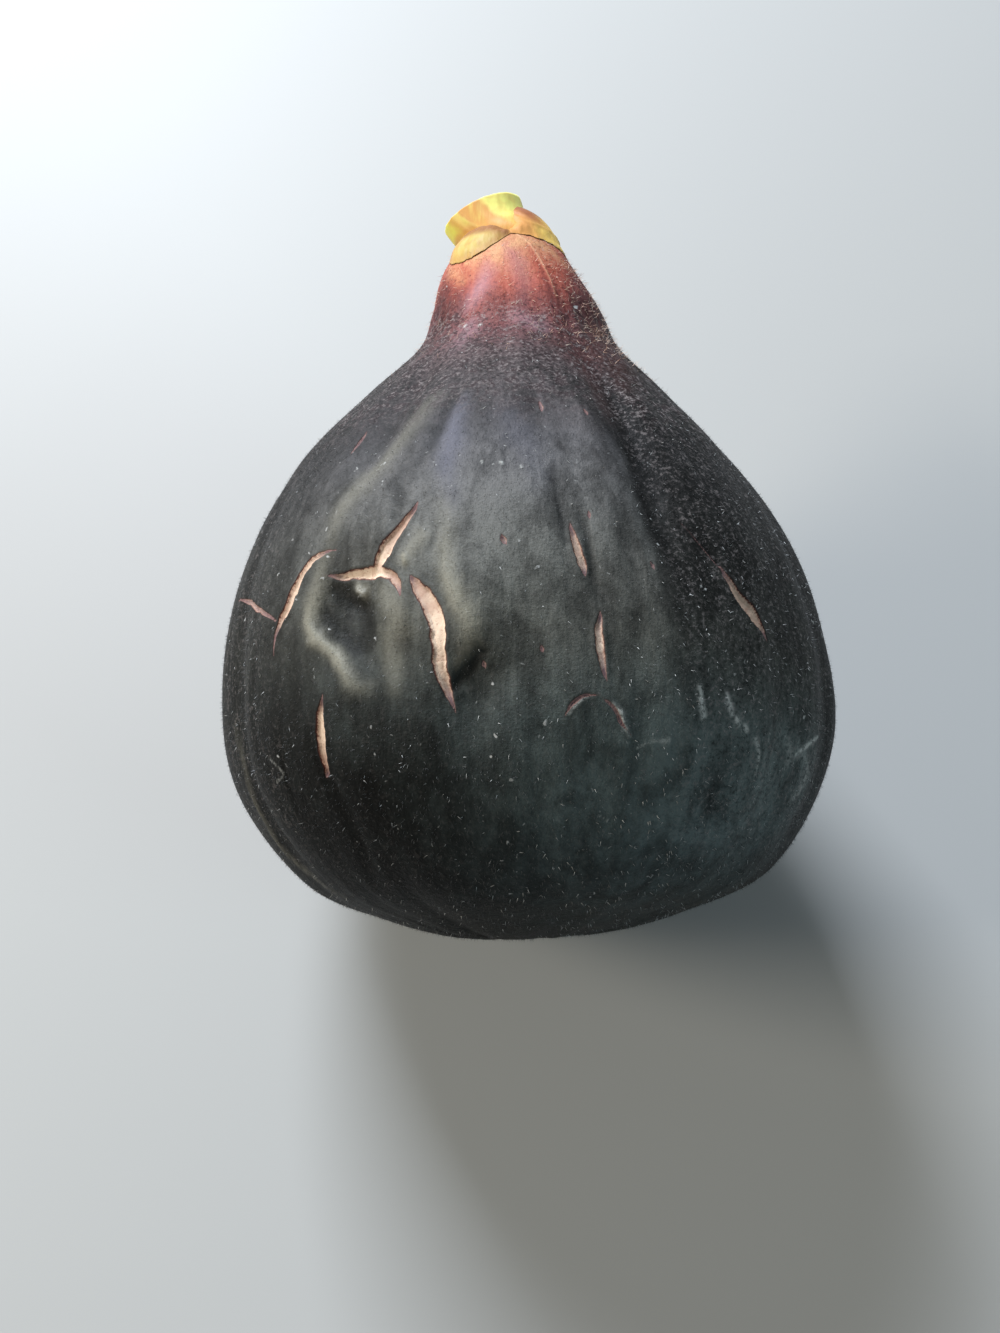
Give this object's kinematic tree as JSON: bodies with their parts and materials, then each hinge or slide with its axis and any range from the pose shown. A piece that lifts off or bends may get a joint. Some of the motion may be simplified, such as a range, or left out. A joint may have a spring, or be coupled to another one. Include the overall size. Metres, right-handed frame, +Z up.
{
  "type": "fresh fig",
  "caption": "Fresh dark fig lying on its side: a teardrop fruit with ribbed, split skin, a closed eye at its broad end and a short cut stalk with bracts at its neck.",
  "frame": {"origin": "under the middle of the whole fig's box, on the surface it lies on", "axes": "+Y from the eye end towards the stalk, seen from above; +Z up from the surface; +X to the right seen from the eye end"},
  "size_m": [0.0518, 0.0668, 0.0488],
  "materials": {
    "dark_skin": "matte",
    "eye_scales": "matte",
    "green_stalk": "satin"
  },
  "bodies": {
    "root": {"fruit": "dark_skin", "eye": "eye_scales", "stalk": "green_stalk"}
  },
  "joints": []
}
